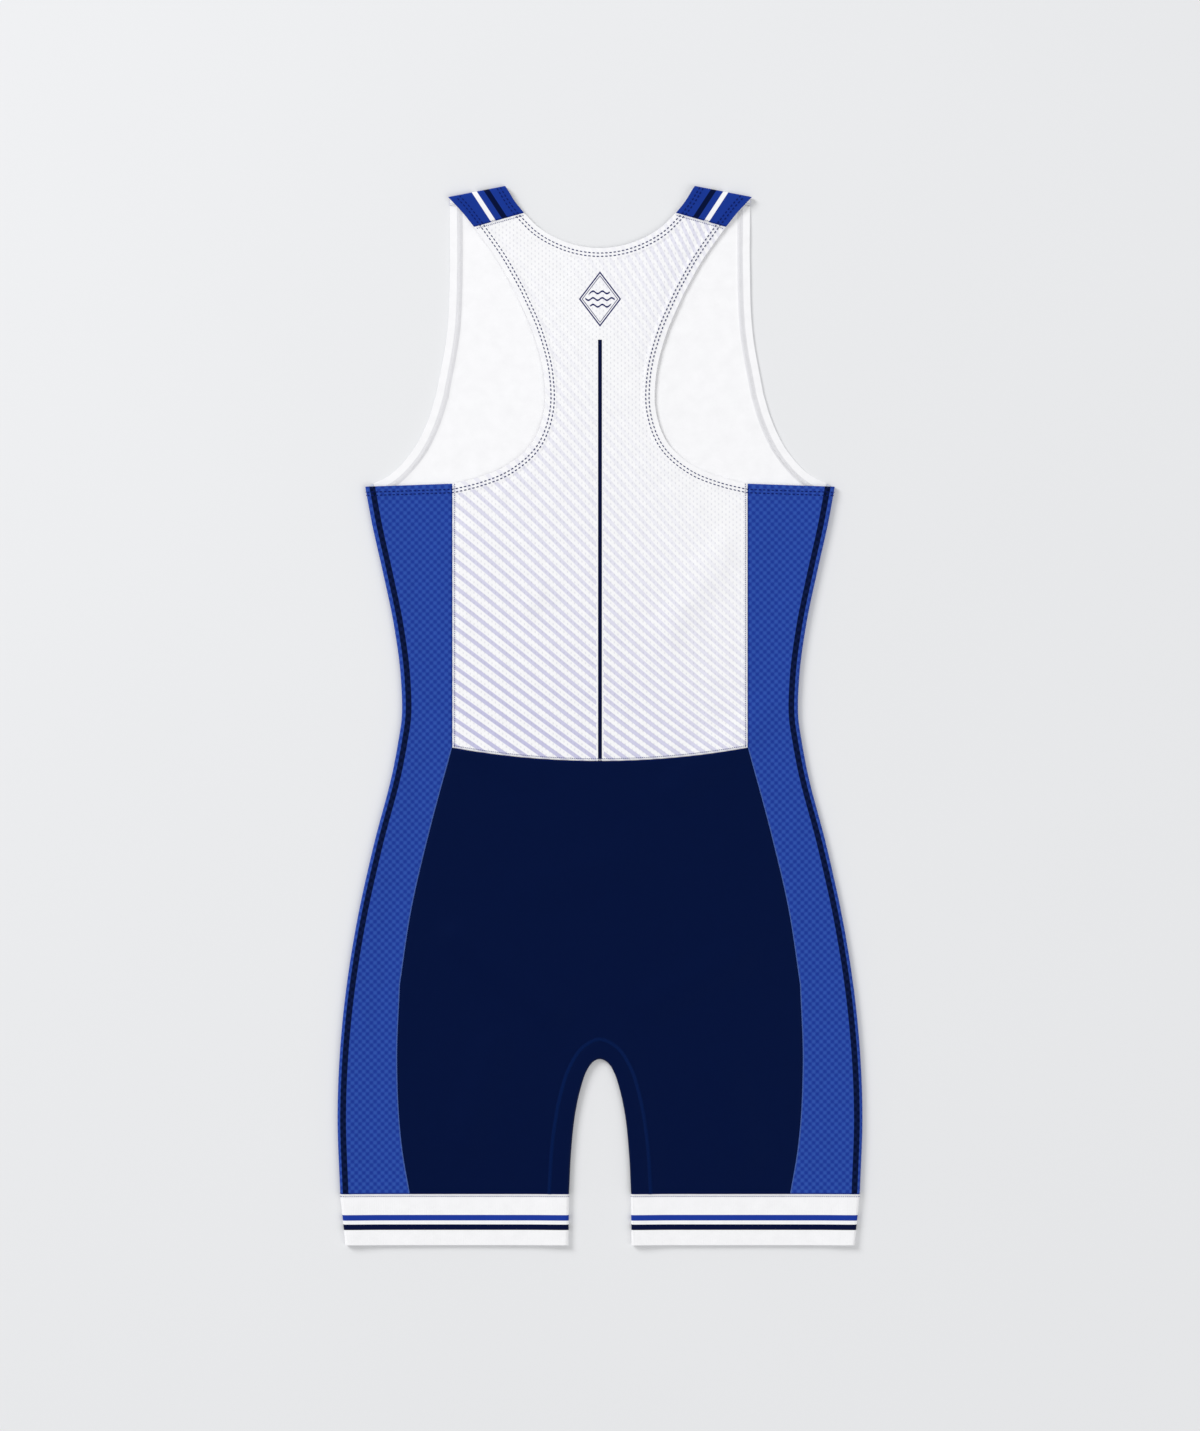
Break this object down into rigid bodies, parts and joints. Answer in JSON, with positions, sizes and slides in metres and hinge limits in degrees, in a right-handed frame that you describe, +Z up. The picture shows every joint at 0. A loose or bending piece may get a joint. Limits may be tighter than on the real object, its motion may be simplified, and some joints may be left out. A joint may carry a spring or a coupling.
{
  "type": "rowing unisuit",
  "caption": "Sleeveless one-piece rowing suit with thigh-length legs and a racer back, lying flat with its back up.",
  "frame": {"origin": "centre of the suit's outline, on the surface it lies on", "axes": "+Z up out of the back of the suit, +Y from the leg hems to the shoulders, +X to the wearer's right"},
  "size_m": [0.4728, 0.954, 0.0052],
  "materials": {
    "white_mesh": "white knitted mesh with pale lavender printed stripes and a navy centre line",
    "white_lining_side": "white knitted mesh, its inside showing",
    "strap_blue": "royal blue stretch knit with one white and one navy stripe",
    "blue_mesh": "royal blue mesh with a small diamond check and a narrow navy stripe",
    "navy_lycra": "navy stretch knit with a faint satin sheen",
    "band_white": "white elastic knit with a blue and a navy stripe"
  },
  "bodies": {
    "root": {"back_yoke": "white_mesh", "front_yoke": "white_lining_side", "shoulder_left": "strap_blue", "shoulder_right": "strap_blue", "side_panel_left": "blue_mesh", "side_panel_right": "blue_mesh", "back_shorts": "navy_lycra", "front_shorts": "navy_lycra", "gusset": "navy_lycra", "leg_band_left": "band_white", "leg_band_right": "band_white"}
  },
  "joints": []
}
